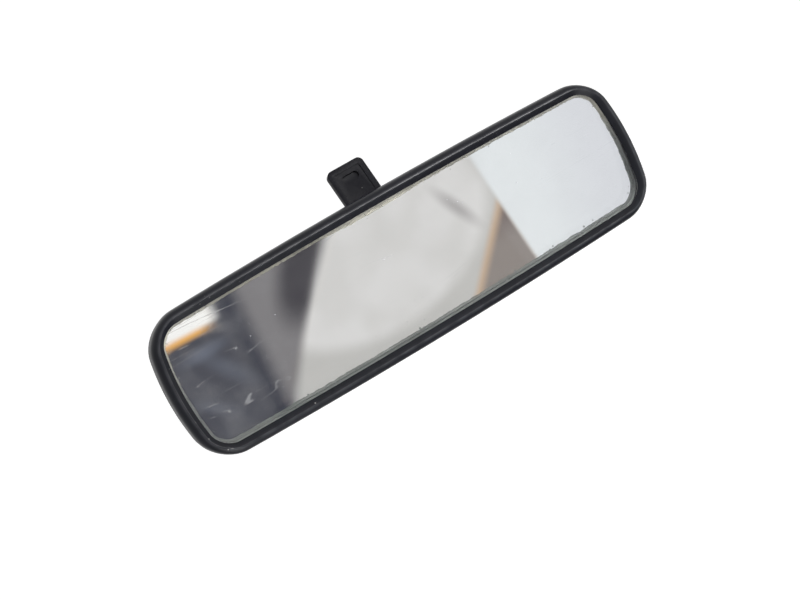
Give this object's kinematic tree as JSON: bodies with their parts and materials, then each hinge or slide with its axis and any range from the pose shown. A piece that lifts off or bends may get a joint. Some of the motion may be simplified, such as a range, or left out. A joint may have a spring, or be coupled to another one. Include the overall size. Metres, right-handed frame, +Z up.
{
  "type": "interior rearview mirror",
  "caption": "Wide interior rearview mirror with a prismatic glass, a day and night dipping lever, a ball joint and a foot that slides onto a windscreen button.",
  "frame": {"origin": "centre of the button's bonded face, where it meets the windscreen", "axes": "+X across the car along the mirror's long side, +Y forward to the windscreen, so the glass faces -Y, and +Z up"},
  "size_m": [0.24, 0.0869, 0.0842],
  "materials": {
    "button_steel": "sintered steel, matt",
    "black_zinc": "black paint over zinc casting, fine texture",
    "fastener_steel": "zinc plated",
    "stud_steel": "polished, nickel plated",
    "acetal": "natural acetal",
    "spring_steel": "spring steel",
    "bracket_plastic": "glass-filled nylon",
    "ring_steel": "zinc plated",
    "stop_rubber": "soft rubber",
    "case_plastic": "fine grained black plastic",
    "bezel_plastic": "satin black plastic, worn glossy on the ridge",
    "prism_glass": "clear, slightly green",
    "silver": "silvered, with a bare border",
    "backing_film": "cream safety film",
    "foam": "open foam",
    "pin_steel": "ground steel",
    "lever_plastic": "satin black plastic"
  },
  "bodies": {
    "foot": {"mounting_button": "button_steel", "foot_arm": "black_zinc", "clamp_screw": "fastener_steel", "ball_stud": "stud_steel"},
    "liner": {"ball_liner": "acetal"},
    "cup": {"clamp_cup": "spring_steel"},
    "bracket": {"pivot_bracket": "bracket_plastic", "socket_ring": "ring_steel", "socket_screws": "fastener_steel", "day_stop_pads": "stop_rubber"},
    "case": {"case_shell": "case_plastic", "bezel": "bezel_plastic", "prism_glass": "prism_glass", "silver_layer": "silver", "backing_film": "backing_film", "foam_pads": "foam", "dip_hinge_pin": "pin_steel", "lever_pin": "pin_steel", "detent_spring": "spring_steel", "night_stop_pads": "stop_rubber"},
    "lever": {"dip_lever": "lever_plastic", "crank_pin": "pin_steel"}
  },
  "joints": [
    {"name": "head_tilt", "type": "hinge", "parent": "foot", "child": "liner", "pos_m": [0, -0.054, -0.024], "axis": [1, 0, 0], "range_deg": [-18, 18]},
    {"name": "head_pan", "type": "hinge", "parent": "liner", "child": "cup", "pos_m": [0, -0.054, -0.024], "axis": [0, 0, 1], "range_deg": [-18, 18]},
    {"name": "head_roll", "type": "hinge", "parent": "cup", "child": "bracket", "pos_m": [0, -0.054, -0.024], "axis": [0, 1, 0], "range_deg": [-25, 25]},
    {"name": "dip", "type": "hinge", "parent": "bracket", "child": "case", "pos_m": [0, -0.06, -0.00775], "axis": [-1, 0, 0], "range_deg": [0, 4.86]},
    {"name": "lever_turn", "type": "hinge", "parent": "case", "child": "lever", "pos_m": [0, -0.061, -0.05025], "axis": [-1, 0, 0], "range_deg": [0, 36], "deforming": ["detent_spring"]}
  ],
  "couplings": [
    {"joint": "lever_turn", "follows": "dip", "ratio": 7.4}
  ]
}
